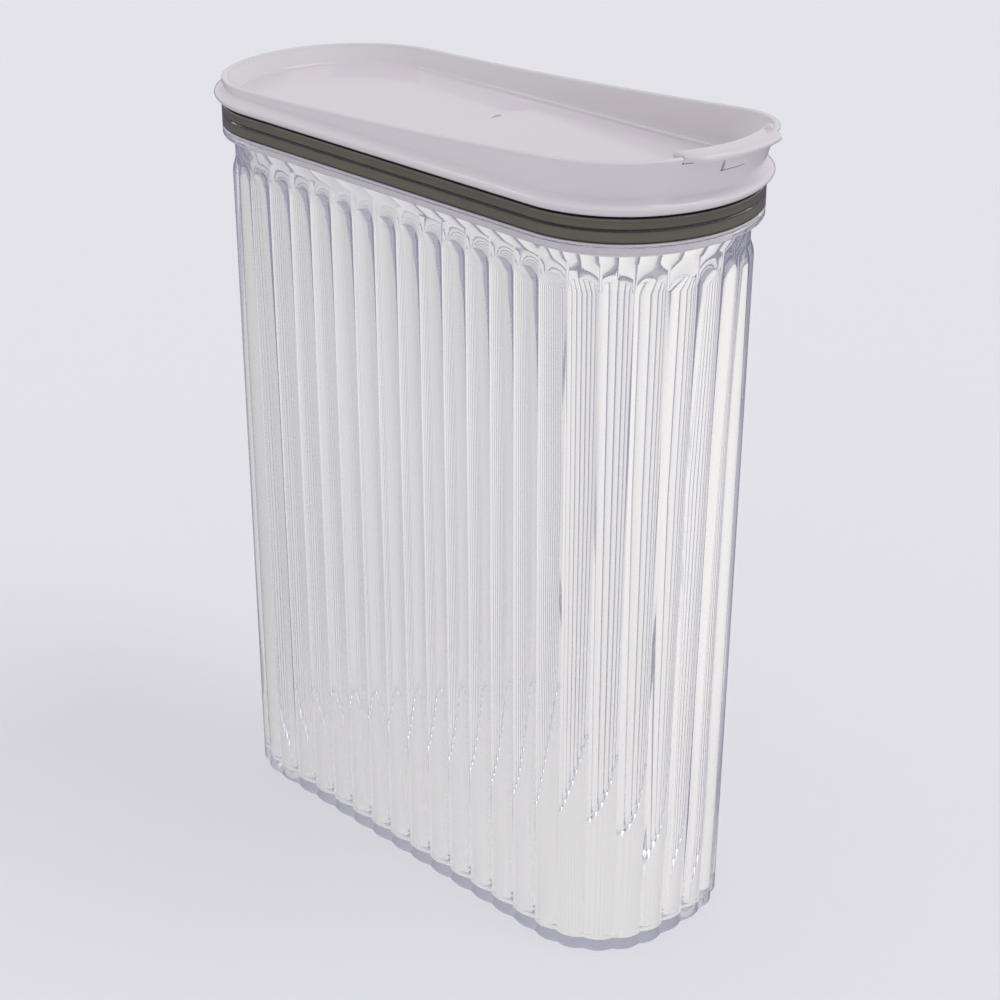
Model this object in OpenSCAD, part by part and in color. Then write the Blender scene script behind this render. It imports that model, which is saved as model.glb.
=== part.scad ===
// Cereal container with a flip spout.
// A clear fluted jar, a press-in lid with a ribbed gasket, and a hinged flap over the pour opening.
// The origin is the middle of the flat base. X runs along the container, with the spout at +X.

/* [Jar] */
// Length over the collar at the top of the jar
collar_length = 208; // [190:1:230]
// Width over the collar
collar_width = 84.4; // [78:0.2:96]
// Corner radius of the collar
collar_corner_r = 37; // [33:0.5:38]
// How far the middle of each end bulges past the corners, at the collar
collar_end_bow = 26; // [20:0.5:30]
// Length of the jar at its base
base_length = 194.6; // [180:0.2:200]
// Width of the jar at its base
base_width = 75; // [70:0.2:77]
// Corner radius at the base
base_corner_r = 29; // [24:0.5:32]
// How far the middle of each end bulges at the base
base_end_bow = 2.5; // [1.5:0.1:5]
// Height of the jar to the top of its collar
jar_height = 254.2; // [200:0.2:300]
// Height of the collar band
collar_height = 10.6; // [10:0.1:14]
// Step from the crest of the flutes out to the collar
collar_step = 2.6; // [2:0.1:3.4]
// Wall of the collar
collar_wall = 2.4; // [2:0.1:3]
// Wall from the crest of a flute to the smooth inside
jar_wall = 3.4; // [2.8:0.1:4]
// Thickness of the jar's floor
floor_thick = 3.6; // [2.5:0.1:6]
// Radius where the inside wall meets the floor
floor_cove = 4; // [2:0.5:8]
// Chamfer round the foot of the jar
foot_chamfer = 0.6; // [0.4:0.1:2]

/* [Flutes] */
// Number of flutes round the jar
flute_count = 48; // [36:4:60]
// Height of a flute's crest above its edges
flute_depth = 1.2; // [0.6:0.1:1.6]
// Smooth neck from the tip of the arches to the collar
neck_height = 8.4; // [5:0.2:16]
// Rise of the arch that ends each flute
arch_rise = 4.6; // [3:0.1:8]
// Where the first flute edge lies along the long side
flute_start = 3.15; // [0:0.05:10]

/* [Lid] */
// Gap between the jar's collar and the lid's flange, for the gasket's lip
lid_gap = 0.8; // [0.7:0.05:1.2]
// Height of the tray floor above the flange
tray_rise = 1.2; // [1:0.1:3]
// Thickness of the tray floor
tray_thick = 1.8; // [1.4:0.1:1.8]
// Height of the rim above the flange at the back
rim_low = 7.2; // [6.8:0.1:9]
// Height of the rim above the flange at the spout
rim_high = 17.6; // [15:0.1:20]
// How sharply the rim sweeps up towards the spout
rim_sweep = 1.8; // [1.2:0.1:2.5]
// Thickness of the rim
rim_thick = 1.8; // [1.6:0.1:2.6]
// Reach of the bead past the collar
bead_reach = 2.3; // [1.5:0.1:3]
// Height of the waist above the flange
waist_height = 4.9; // [4.7:0.1:5.7]
// Distance of the waist inside the collar's outline
waist_inset = 0.6; // [0:0.1:1]
// Outward lean of the wall above the waist, mm for each mm of height
wall_lean = 0.14; // [0.05:0.01:0.2]
// Flare of the wall above the waist, per square millimetre
wall_flare = 0.018; // [0.01:0.001:0.025]
// Distance from the collar's outline in to the foot of the tray wall
tray_foot = 4.6; // [4.2:0.1:5.4]
// Gap from the collar's inside to the plug wall, filled by the gasket
gasket_space = 2.5; // [2:0.1:3]
// Thickness of the plug wall
plug_wall = 1.9; // [1.4:0.1:2.4]

/* [Gasket] */
// Height of the gasket
gasket_height = 8; // [7:0.1:8.2]
// Height of each sealing rib on the gasket
gasket_rib = 0.7; // [0.4:0.1:1]
// Number of sealing ribs
gasket_ribs = 2; // [2:1:3]
// Clearance between the ribs and the collar
gasket_clear = 0.3; // [0.3:0.05:0.5]
// Distance of the gasket's lip inside the collar's outline
gasket_lip_inset = 0.2; // [0.1:0.1:1.5]
// Thickness of the ring's flange under the gasket
ring_flange = 0.8; // [0.6:0.1:0.9]
// Depth of the ring's sleeve below its flange
ring_drop = 4.5; // [3:0.1:8]
// Height of the ring's sleeve above its flange
ring_grip = 3.6; // [2:0.1:5]
// Thickness of the ring's sleeve
ring_wall = 1.4; // [1:0.1:2]

/* [Flap] */
// Width of the flap
flap_width = 48; // [42:0.5:54]
// Thickness of the flap
flap_thick = 1.4; // [1.2:0.1:2]
// Clearance between the flap and the lid
flap_clear = 0.3; // [0.3:0.05:0.5]
// Width of the lip
lip_width = 39; // [34:0.5:42]
// Corner radius of the lip
lip_corner_r = 10; // [6:0.5:12]
// How far the lip overhangs the collar
lip_reach = 7.2; // [6:0.2:9]
// Thickness of the lip
lip_thick = 3; // [2.4:0.1:3.4]
// Depth of the notch that the lip sits in, below the rim
notch_depth = 2.5; // [2:0.1:3]
// Thickness of the flap where it climbs the tray wall
upstand = 1.5; // [1.2:0.1:2]
// Width of the catch under the lip
catch_width = 9.6; // [7:0.2:14]
// Height of the catch under the lip
catch_drop = 3.9; // [3:0.1:4.5]
// Distance of the catch's face outside the collar's outline
catch_reach = 1.9; // [1.4:0.1:2.6]
// Gap round the catch in its slot
catch_gap = 0.5; // [0.3:0.1:0.8]
// Diameter of the pip on the lip
pip_d = 2.4; // [1.5:0.1:3]
// Height of the pip
pip_height = 1.4; // [0.6:0.1:2]

/* [Pour opening] */
// Length of the pour opening
pour_length = 54; // [40:1:60]
// Width of the pour opening
pour_width = 34; // [26:1:36]
// Corner radius of the pour opening
pour_corner_r = 12; // [6:0.5:13]
// Distance from the pour opening to the spout end of the collar
pour_from_end = 20; // [17:1:30]
// Depth of the rib that plugs the opening
plug_rib_depth = 4.7; // [3:0.1:7]
// Thickness of that rib
plug_rib_thick = 1.2; // [0.8:0.1:2]
// Radial thickness of the flap's seal
seal_thick = 1.5; // [1:0.1:2.5]
// Height of the flap's seal
seal_height = 3; // [2:0.1:4]

/* [Hinge] */
// Place of the hinge line along the container
hinge_x = -3; // [-20:0.5:10]
// Diameter of the hinge pin
pin_d = 2; // [1.5:0.1:2.5]
// Running clearance round the pin
pin_clear = 0.05; // [0.02:0.01:0.1]
// Outer diameter of the flap's knuckles
knuckle_d = 4.4; // [3.6:0.1:5]
// Length of each knuckle
knuckle_length = 7; // [5:0.5:12]
// Distance of each knuckle from the middle
knuckle_y = 15; // [12:0.5:17]
// Clearance round a knuckle in its pocket
knuckle_clear = 0.5; // [0.4:0.1:1]
// Wall round the knuckle pockets
boss_wall = 1.6; // [1.2:0.1:2.5]

/* [Hidden] */
eps = 0.01;
$fn = 64;

// Outlines: [half length, half width, corner radius, end bulge]
collar = [collar_length / 2, collar_width / 2, collar_corner_r, collar_end_bow];
base = [base_length / 2, base_width / 2, base_corner_r, base_end_bow];

// Levels
collar_low = jar_height - collar_height;
ledge_z = collar_low + 1.6;
arch_top = collar_low - neck_height;
arch_low = arch_top - arch_rise;
flange_z = jar_height + lid_gap;
tray_z = flange_z + tray_rise;
waist_z = flange_z + waist_height;
gasket_top = flange_z - 0.7;
gasket_low = gasket_top - gasket_height;

// Offsets, all measured outward from the collar's outline
crest = -collar_step;
neck = crest - flute_depth;
jar_inside = crest - jar_wall;
collar_inside = -collar_wall;
plug_outside = collar_inside - gasket_space;
plug_inside = plug_outside - plug_wall;
tray_edge = plug_inside - 1;

// ---- Outlines ----
// A quarter outline is a flat side, a corner arc and a shallow end arc, each tangent to the next
function end_r(o) = (o[1] * o[1] + o[3] * o[3]) / (2 * o[3]);
function end_x(o) = o[0] - end_r(o);
function end_angle(o) = asin((o[1] - o[2]) / (end_r(o) - o[2]));
function corner_x(o) = end_x(o) + (end_r(o) - o[2]) * cos(end_angle(o));

// Arc lengths, taken at offset d
function corner_arc(o, d) = (o[2] + d) * (90 - end_angle(o)) * PI / 180;
function end_arc(o, d) = (end_r(o) + d) * end_angle(o) * PI / 180;
function quarter(o, d) = corner_x(o) + corner_arc(o, d) + end_arc(o, d);

function heading(a) = [cos(a), sin(a)];

// Point and normal of a quarter at arc length s (measured at offset d), set out by e
function arc_at(centre, r, a, e) = [centre + (r + e) * heading(a), heading(a)];
function on_quarter(o, d, s, e) =
    s <= corner_x(o) ? [[s, -o[1] - e], [0, -1]] :
    s <= corner_x(o) + corner_arc(o, d)
        ? arc_at([corner_x(o), o[2] - o[1]], o[2], -90 + (s - corner_x(o)) / (o[2] + d) * 180 / PI, e)
        : arc_at([end_x(o), 0], end_r(o), (s - quarter(o, d)) / (end_r(o) + d) * 180 / PI, e);

// Quarters 1 and 3 run backwards, and each quarter is mirrored into place
function turned(q, p) = let (m = [q < 2 ? 1 : -1, q == 0 || q == 3 ? 1 : -1])
    [[p[0][0] * m[0], p[0][1] * m[1]], [p[1][0] * m[0], p[1][1] * m[1]]];
function round_at(o, d, q, s, e) = turned(q, on_quarter(o, d, s, e));

// ---- The jar's skin ----
jar_quarter = quarter(collar, crest);
base_quarter = quarter(base, 0);
side_run = min(corner_x(collar), corner_x(base)) - 1;
pitch = 4 * jar_quarter / flute_count;

// The flutes keep their places along the flat sides, and close up a little round the foot
function base_s(s) = s <= side_run ? s
    : side_run + (s - side_run) * (base_quarter - side_run) / (jar_quarter - side_run);

// Point at arc length s round the jar, at height z and offset e from the collar's outline
function jar_point(s, z, e) =
    let (whole = floor(s / jar_quarter), q = whole % 4, f = s - whole * jar_quarter,
         s1 = q % 2 == 0 ? f : jar_quarter - f,
         top = round_at(collar, crest, q, s1, e), low = round_at(base, 0, q, base_s(s1), e - crest),
         k = min(max(z, 0) / collar_low, 1), p = low[0] * (1 - k) + top[0] * k)
    [p[0], p[1], z];

flute_steps = 6;   // points across one flute
plain_steps = 2;   // points across one flute's width where the wall is smooth
fine = flute_count * flute_steps;
plain = flute_count * plain_steps;

// A flute's bulge across its width, and the elliptical arch that ends it
function across(i) = 2 * (i % flute_steps) / flute_steps - 1;
function bulge(i) = 1 - pow(across(i), 2);
function fine_s(i) = flute_start + pitch * i / flute_steps;
function plain_s(i) = flute_start + pitch * i / plain_steps;
function arch_z(i, k) = arch_low + arch_rise * k * (0.06 + 0.94 * sqrt(bulge(i)));

function fluted_ring(z, e, full) =
    [for (i = [0 : fine - 1]) jar_point(fine_s(i), z, e - flute_depth * full * (1 - bulge(i)))];
function arch_ring(k) =
    [for (i = [0 : fine - 1]) jar_point(fine_s(i), arch_z(i, k), neck + flute_depth * bulge(i) * (1 - k * k))];
function plain_ring(z, e) = [for (i = [0 : plain - 1]) jar_point(plain_s(i), z, e)];

arch_rings = 4;
fine_rings = [
    fluted_ring(0, crest - foot_chamfer, 0.8),
    fluted_ring(foot_chamfer, crest, 1),
    each [for (k = [0 : arch_rings]) arch_ring(k / arch_rings)]
];
edge = 0.7;        // small chamfers on the collar and its inside
plain_rings = [
    plain_ring(arch_top + neck_height * 0.45, neck),
    plain_ring(collar_low - edge, neck),
    plain_ring(collar_low, -edge / 2),
    plain_ring(collar_low + edge, 0),
    plain_ring(jar_height - edge, 0),
    plain_ring(jar_height, -edge),
    plain_ring(jar_height, collar_inside + edge / 2),
    plain_ring(jar_height - edge, collar_inside),
    plain_ring(ledge_z, collar_inside),
    plain_ring(ledge_z - edge / 4, jar_inside + edge),
    plain_ring(ledge_z - edge, jar_inside),
    plain_ring(floor_thick + floor_cove, jar_inside),
    plain_ring(floor_thick + floor_cove * 0.3, jar_inside - floor_cove * 0.3),
    plain_ring(floor_thick, jar_inside - floor_cove)
];

// Faces between two rings of n points that start at points a and b
function band(a, b, n) = [for (i = [0 : n - 1]) let (j = (i + 1) % n)
    each [[a + i, b + i, b + j], [a + i, b + j, a + j]]];
// Faces from a ring of 3 n points to one of n
function narrow(a, b, n) = [for (i = [0 : n - 1])
    let (a0 = a + 3 * i, a3 = a + (3 * i + 3) % (3 * n), b0 = b + i, b1 = b + (i + 1) % n)
    each [[a0, b0, a0 + 1], [a0 + 1, b0, b1], [a0 + 1, b1, a0 + 2], [a0 + 2, b1, a3]]];
// A flat cap over a ring of n points, in strips across the jar; m is the point nearest the spout end
function cap(a, n, m, turn) = [for (i = [0 : n / 2 - 1])
    let (u = a + (m + i) % n, u1 = a + (m + i + 1) % n,
         v = a + (m - i + n) % n, v1 = a + (m - i - 1 + n) % n,
         f = i == 0 ? [u, u1, v1] : i == n / 2 - 1 ? [u, u1, v] : [u, u1, v1, v])
    turn ? [for (k = [len(f) - 1 : -1 : 0]) f[k]] : f];
function nearest_end(steps) = round((jar_quarter - flute_start) / pitch * steps);

module container_body() {
    split = len(fine_rings) * fine;
    faces = concat(
        cap(0, fine, nearest_end(flute_steps), false),
        [for (r = [0 : len(fine_rings) - 2]) each band(r * fine, (r + 1) * fine, fine)],
        narrow(split - fine, split, plain),
        [for (r = [0 : len(plain_rings) - 2]) each band(split + r * plain, split + (r + 1) * plain, plain)],
        cap(split + (len(plain_rings) - 1) * plain, plain, nearest_end(plain_steps), true)
    );
    color([0.86, 0.86, 0.9, 0.45])
        polyhedron(points = concat([for (r = fine_rings) each r], [for (r = plain_rings) each r]), faces = faces);
}

// ---- Swept rings for the lid, its gasket and the retaining ring ----
side_steps = 5;
corner_steps = 7;
end_steps = 5;
collar_stops = [0, corner_x(collar), corner_x(collar) + corner_arc(collar, 0), quarter(collar, 0)];
function spread(a, b, n) = [for (i = [0 : n - 1]) a + (b - a) * i / n];
quarter_s = concat(
    spread(collar_stops[0], collar_stops[1], side_steps),
    spread(collar_stops[1], collar_stops[2], corner_steps),
    spread(collar_stops[2], collar_stops[3], end_steps), [collar_stops[3]]);
quarter_n = len(quarter_s) - 1;
round_n = 4 * quarter_n;
function sweep_at(i, e) = let (q = floor(i / quarter_n), f = i % quarter_n)
    round_at(collar, 0, q, quarter_s[q % 2 == 0 ? f : quarter_n - f], e)[0];

// A profile of [offset, z] points, clockwise seen along the sweep, closed into a ring
module swept_ring(profile) {
    n = len(profile);
    polyhedron(
        points = [for (p = profile) for (i = [0 : round_n - 1]) let (xy = sweep_at(i, p[0])) [xy[0], xy[1], p[1]]],
        faces = [for (r = [0 : n - 1]) each band(r * round_n, ((r + 1) % n) * round_n, round_n)]);
}
// A flat plate inside the collar's outline
module outline(e) { polygon([for (i = [0 : round_n - 1]) sweep_at(i, e)]); }

// ---- Lid ----
// The rim sweeps up along the lid, and its wall flares outward as it rises
function rim_z(x) = flange_z + rim_low
    + (rim_high - rim_low) * pow(max(0, (x + collar[0]) / collar_length), rim_sweep);
function flare(z) = -waist_inset + wall_lean * (z - waist_z) + wall_flare * pow(z - waist_z, 2);
rim_round = 0.9;
wall_rows = 4;

// Lid section at a place where the rim's top is at z
function lid_section(z) = let (top = flare(z - rim_round)) concat(
    [[plug_outside, gasket_low], [plug_outside, flange_z], [bead_reach - 1, flange_z],
     [bead_reach - 0.4, flange_z + 0.4], [bead_reach, flange_z + 1.3], [bead_reach, flange_z + 2.2],
     [bead_reach - 0.5, flange_z + 3.2], [bead_reach - 1.6, flange_z + 4.1]],
    [for (k = [0 : wall_rows]) let (h = waist_z + (z - rim_round - waist_z) * k / wall_rows) [flare(h), h]],
    [[top - rim_thick * 0.15, z - rim_round * 0.2], [top - rim_thick * 0.5, z],
     [top - rim_thick * 0.85, z - rim_round * 0.25], [top - rim_thick, z - rim_round],
     [0.25 - tray_foot, tray_z + 1.2], [-tray_foot - 0.15, tray_z + 0.5], [-tray_foot - 0.6, tray_z + 0.1],
     [-tray_foot - 1.1, tray_z], [tray_edge, tray_z], [tray_edge, flange_z], [plug_inside, flange_z], [plug_inside, gasket_low]]);

module lid_shell() {
    n = len(lid_section(tray_z + 10));
    sections = [for (i = [0 : round_n - 1]) lid_section(rim_z(sweep_at(i, 0)[0]))];
    polyhedron(
        points = [for (r = [0 : n - 1]) for (i = [0 : round_n - 1])
            let (p = sections[i][r], xy = sweep_at(i, p[0])) [xy[0], xy[1], p[1]]],
        faces = [for (r = [0 : n - 1]) each band(r * round_n, ((r + 1) % n) * round_n, round_n)]);
}

// A slice of the lid's spout end, turned about the end arc's centre; points are [offset, z]
module end_slice(half_angle, section) {
    translate([end_x(collar), 0, 0]) rotate([0, 0, -half_angle])
        rotate_extrude(angle = 2 * half_angle, $fn = 128)
            polygon([for (p = section) [end_r(collar) + p[0], p[1]]]);
}

// A plate with round corners, from x0 to x1 and y half wide
module round_plate(x0, x1, y, r, z0, z1) {
    translate([0, 0, z0]) linear_extrude(z1 - z0) {
        translate([x0 + r, -y]) square([x1 - x0 - 2 * r, 2 * y]);
        translate([x0, r - y]) square([x1 - x0, 2 * (y - r)]);
        for (x = [x0 + r, x1 - r]) for (s = [-1, 1]) translate([x, s * (y - r)]) circle(r);
    }
}

pour_x1 = collar[0] - pour_from_end;
pour_x0 = pour_x1 - pour_length;
// The pour opening's outline drawn in by e
module pour_plate(e, z0, z1) { round_plate(pour_x0 + e, pour_x1 - e, pour_width / 2 - e, pour_corner_r - e, z0, z1); }

// The hinge pin lies just under the tray floor
pin_z = tray_z - 0.8;
pin_length = 2 * (knuckle_y + knuckle_length / 2 + boss_wall + 2);
pocket_back = 3.6;
pocket_front = knuckle_d / 2 + knuckle_clear + 1.4;
boss_low = pin_z - knuckle_d / 2 - knuckle_clear - boss_wall;
module across_y(d, length) { rotate([90, 0, 0]) cylinder(d = d, h = length, center = true); }

// The rim is cut down at the spout for the lip
notch_z = flange_z + rim_high - notch_depth;
lip_z = notch_z + flap_clear;
// Inside of the tray wall at height z, taken at the ends of the lip
lip_end_z = rim_z(end_x(collar) + sqrt(pow(end_r(collar), 2) - pow(lip_width / 2, 2))) - rim_round;
function wall_in(z) = let (foot = 0.25 - tray_foot, foot_z = tray_z + 1.2)
    foot + (flare(lip_end_z) - rim_thick - foot) * (z - foot_z) / (lip_end_z - foot_z);

module lid_body() {
    color([0.82, 0.79, 0.82]) difference() {
        union() {
            lid_shell();
            translate([0, 0, tray_z - tray_thick]) linear_extrude(tray_thick) outline(tray_edge + 1.3);
            translate([hinge_x - pocket_back - boss_wall, -pin_length / 2, boss_low])
                cube([pocket_back + pocket_front + 2 * boss_wall, pin_length, tray_z - tray_thick / 2 - boss_low]);
        }
        // pour opening
        pour_plate(0, flange_z - 5, tray_z + 5);
        // pockets for the flap's knuckles
        for (s = [-1, 1]) translate([hinge_x - pocket_back, s * knuckle_y - knuckle_length / 2 - knuckle_clear,
                                     boss_low + boss_wall])
            cube([pocket_back + pocket_front, knuckle_length + 2 * knuckle_clear, tray_z - boss_low]);
        translate([hinge_x, 0, pin_z]) across_y(pin_d + 2 * pin_clear, pin_length - 2);
        // notch for the lip, and the slot that its catch hangs in
        translate([collar[0] - 24, -lip_width / 2 - flap_clear, notch_z])
            cube([40, lip_width + 2 * flap_clear, 12]);
        end_slice(catch_angle + catch_gap / end_r(collar) * 180 / PI, [
            [-tray_foot, notch_z - catch_drop - catch_gap], [lip_reach, notch_z - catch_drop - catch_gap],
            [lip_reach, notch_z + 1], [-tray_foot, notch_z + 1]]);
    }
}

// ---- Gasket and its ring ----
module lid_gasket() {
    root = collar_inside - gasket_clear - gasket_rib;
    gasket_lip_low = jar_height + gasket_clear;
    rows = 6 * gasket_ribs;
    color([0.36, 0.35, 0.33]) swept_ring(concat(
        [[plug_outside, gasket_low], [root, gasket_low]],
        [for (k = [1 : rows - 1])
            [root + gasket_rib * pow(abs(sin(30 * k)), 0.4), gasket_low + gasket_height * k / rows]],
        [[root, gasket_top], [root, gasket_lip_low], [-gasket_lip_inset, gasket_lip_low],
         [-gasket_lip_inset, flange_z], [plug_outside, flange_z]]));
}

module gasket_retainer() {
    rim = collar_inside - gasket_clear - 0.2;
    low = gasket_low - ring_flange;
    color([0.82, 0.79, 0.82]) swept_ring([
        [plug_inside, low], [rim, low], [rim, gasket_low], [plug_inside, gasket_low],
        [plug_inside, gasket_low + ring_grip], [plug_inside - ring_wall, gasket_low + ring_grip],
        [plug_inside - ring_wall, low - ring_drop], [plug_inside, low - ring_drop]]);
}

// ---- Flap ----
catch_angle = catch_width / 2 / end_r(collar) * 180 / PI;
catch_low = notch_z - catch_drop;
pip_r = end_r(collar) + 2.2;
pip_angle = asin((lip_width / 2 - 2.1) / pip_r);
plate_z = tray_z + flap_clear;
plate_top = plate_z + flap_thick;
plate_start = hinge_x + 2.5;
plug_rib_low = plate_z - plug_rib_depth;
rib_inset = flap_clear + seal_thick;

// The flap's end climbs the tray wall and turns out over the notch
flap_edge = -tray_foot - 1.1 - flap_clear;
module flap_end() {
    gap = flap_clear + 0.08;   // measured along the flat, as the wall leans
    top = lip_z + lip_thick;
    foot_z = tray_z + 1.4;
    bend_z = tray_z + 2.6;
    section = [
        [flap_edge - 6, plate_z], [flap_edge, plate_z], [flap_edge + 0.5, plate_z + 0.1],
        [flap_edge + 0.95, plate_z + 0.45], [wall_in(foot_z) - gap, foot_z], [wall_in(lip_z) - gap, lip_z],
        [3.2, lip_z], [lip_reach - 1.4, lip_z + lip_thick * 0.1], [lip_reach - 0.4, lip_z + lip_thick * 0.27],
        [lip_reach, lip_z + lip_thick * 0.55], [lip_reach - 0.3, lip_z + lip_thick * 0.82],
        [lip_reach - 1.2, top], [wall_in(lip_z) - 0.6, top], [wall_in(lip_z) - 1.6, top - 0.3],
        [wall_in(lip_z) - gap - upstand, top - 1.1], [wall_in(notch_z) - gap - upstand, notch_z],
        [wall_in(bend_z) - gap - upstand, bend_z], [flap_edge - 0.4, plate_top + 0.35],
        [flap_edge - 1.4, plate_top], [flap_edge - 6, plate_top]];
    intersection() {
        end_slice(40, section);
        round_plate(40, collar[0] + lip_reach, lip_width / 2, lip_corner_r, plate_z - 1, top + 1);
    }
}

module spout_flap() {
    color([0.84, 0.81, 0.84]) difference() {
        union() {
            translate([0, 0, plate_z]) linear_extrude(flap_thick) intersection() {
                outline(flap_edge);
                translate([plate_start, -flap_width / 2]) square([collar_length, flap_width]);
            }
            flap_end();
            // catch under the lip
            end_slice(catch_angle, [
                [wall_in(catch_low) - flap_clear - 0.8, catch_low], [catch_reach - 0.3, catch_low],
                [catch_reach, catch_low + 0.4], [catch_reach + 0.5, lip_z + 0.5],
                [wall_in(lip_z) - flap_clear - 0.8, lip_z + 0.5]]);
            // pip at the far end of the lip
            translate([end_x(collar) + pip_r * cos(pip_angle), pip_r * sin(pip_angle), lip_z + lip_thick - 0.6])
                cylinder(d = pip_d, h = pip_height + 0.6);
            // rib that plugs the pour opening, with a lip that holds the seal
            difference() {
                union() {
                    pour_plate(rib_inset, plug_rib_low, plate_z + eps);
                    pour_plate(rib_inset - seal_thick / 2, plug_rib_low, plug_rib_low + 0.7);
                }
                pour_plate(rib_inset + plug_rib_thick, plug_rib_low - 1, plate_z);
            }
            // knuckles, each with a web to the plate
            for (s = [-1, 1]) translate([hinge_x, s * knuckle_y, 0]) {
                translate([0, 0, pin_z]) across_y(knuckle_d, knuckle_length);
                translate([0, -knuckle_length / 2, plate_z]) cube([4.5, knuckle_length, flap_thick - 0.2]);
            }
        }
        translate([hinge_x, 0, pin_z]) across_y(pin_d + 2 * pin_clear, pin_length);
    }
}

module flap_seal() {
    low = plug_rib_low + 0.7;
    color([0.55, 0.54, 0.53]) difference() {
        union() {
            pour_plate(flap_clear + 0.4, low, low + seal_height);
            for (k = [0.2, 0.8]) pour_plate(flap_clear, low + seal_height * k - 0.35, low + seal_height * k + 0.35);
        }
        pour_plate(rib_inset, low - 1, low + seal_height + 1);
    }
}

module flap_hinge_pin() {
    color([0.72, 0.73, 0.75]) translate([hinge_x, 0, pin_z]) across_y(pin_d, pin_length - 2.4);
}

container_body();
lid_body();
gasket_retainer();
lid_gasket();
flap_hinge_pin();
spout_flap();
flap_seal();
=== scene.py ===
import math
import bpy
import bmesh
from mathutils import Matrix, Vector


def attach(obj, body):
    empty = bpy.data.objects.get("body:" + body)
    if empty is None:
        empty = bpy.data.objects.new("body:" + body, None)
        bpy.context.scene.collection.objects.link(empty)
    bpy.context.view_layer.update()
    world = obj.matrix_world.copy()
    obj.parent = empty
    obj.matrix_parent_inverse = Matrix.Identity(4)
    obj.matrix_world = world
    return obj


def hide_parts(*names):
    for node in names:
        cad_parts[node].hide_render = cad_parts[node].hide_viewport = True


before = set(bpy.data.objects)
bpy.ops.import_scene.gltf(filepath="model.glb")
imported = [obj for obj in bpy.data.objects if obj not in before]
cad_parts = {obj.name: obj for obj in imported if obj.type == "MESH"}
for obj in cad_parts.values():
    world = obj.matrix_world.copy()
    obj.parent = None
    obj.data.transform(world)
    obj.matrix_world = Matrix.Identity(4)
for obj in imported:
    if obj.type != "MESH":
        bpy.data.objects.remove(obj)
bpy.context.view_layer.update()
mm = 0.001
print("frame loaded:", ", ".join(sorted(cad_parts)))


# Camera, at the photograph's viewing angle
camera = {
    "place": (485.15, -459.99, 441.0),  # mm
    "azimuth": 45.90,  # degrees
    "elevation": 25.23,
    "roll": 0.258,
    "focal": 77.8,  # mm
    "sensor": 36,
    "near": 0.05,  # metres
    "far": 40,
}


def makeCamera():
    a, e, r = (math.radians(camera[k]) for k in ("azimuth", "elevation", "roll"))
    back = Vector((math.sin(a) * math.cos(e), -math.cos(a) * math.cos(e), math.sin(e)))
    right = Vector((0, 0, 1)).cross(back).normalized()
    up = back.cross(right)
    right, up = math.cos(r) * right + math.sin(r) * up, math.cos(r) * up - math.sin(r) * right
    data = bpy.data.cameras.new("camera")
    data.lens, data.sensor_width = camera["focal"], camera["sensor"]
    data.clip_start, data.clip_end = camera["near"], camera["far"]
    cam = bpy.data.objects.new("camera", data)
    cam.matrix_world = Matrix.Translation(Vector(camera["place"]) * mm) @ Matrix(
        (right, up, back)).transposed().to_4x4()
    bpy.context.scene.collection.objects.link(cam)
    bpy.context.scene.camera = cam


makeCamera()
print("camera placed")


# Shader maths: an expression on wrapped sockets adds the Math nodes
class Sock:
    def __init__(self, tree, socket):
        self.tree, self.socket = tree, socket

    def math(self, operation, *others):
        return addNode(self.tree, "ShaderNodeMath", {"operation": operation}, self, *others)

    def clamp(self, low=0.0, high=1.0):
        return self.math("MAXIMUM", low).math("MINIMUM", high)

    def __add__(self, other):
        return self.math("ADD", other)

    def __radd__(self, other):
        return self.math("ADD", other)

    def __sub__(self, other):
        return self.math("SUBTRACT", other)

    def __rsub__(self, other):
        return addNode(self.tree, "ShaderNodeMath", {"operation": "SUBTRACT"}, other, self)

    def __mul__(self, other):
        return self.math("MULTIPLY", other)

    def __rmul__(self, other):
        return self.math("MULTIPLY", other)

    def __truediv__(self, other):
        return self.math("DIVIDE", other)

    def __rtruediv__(self, other):
        return addNode(self.tree, "ShaderNodeMath", {"operation": "DIVIDE"}, other, self)


def addNode(tree, kind, settings, *values, out=0, **named):
    node = tree.nodes.new(kind)
    for key, value in settings.items():
        setattr(node, key, value)
    pairs = list(enumerate(values)) + [(k.replace("_", " "), v) for k, v in named.items()]
    for key, value in pairs:
        if isinstance(value, Sock):
            tree.links.new(value.socket, node.inputs[key])
        else:
            node.inputs[key].default_value = value
    return Sock(tree, node.outputs[out])


def blendColours(tree, factor, a, b):
    node = tree.nodes.new("ShaderNodeMix")
    node.data_type = "RGBA"
    tree.links.new(factor.socket, node.inputs[0])
    for key, value in ((6, a), (7, b)):
        if isinstance(value, Sock):
            tree.links.new(value.socket, node.inputs[key])
        else:
            node.inputs[key].default_value = value
    return Sock(tree, node.outputs[2])


def blendShaders(tree, share, a, b):
    return addNode(tree, "ShaderNodeMixShader", {}, share, a, b)


def noise(tree, spot, scale, detail):
    return addNode(tree, "ShaderNodeTexNoise", {}, Vector=spot, Scale=scale, Detail=detail)


def onSurface(tree):
    return addNode(tree, "ShaderNodeTexCoord", {}, out="Object")


def rayIs(tree, kind):
    return addNode(tree, "ShaderNodeLightPath", {}, out=kind)


def newMaterial(name, colour, **sockets):
    mat = bpy.data.materials.new(name)
    mat.use_nodes = True
    tree = mat.node_tree
    shader = tree.nodes["Principled BSDF"]
    shader.inputs["Base Color"].default_value = (*colour, 1)
    for key, value in sockets.items():
        shader.inputs[key.replace("_", " ")].default_value = value
    return mat, tree, shader


def feed(tree, shader, key, value):
    tree.links.new(value.socket, shader.inputs[key])


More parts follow.
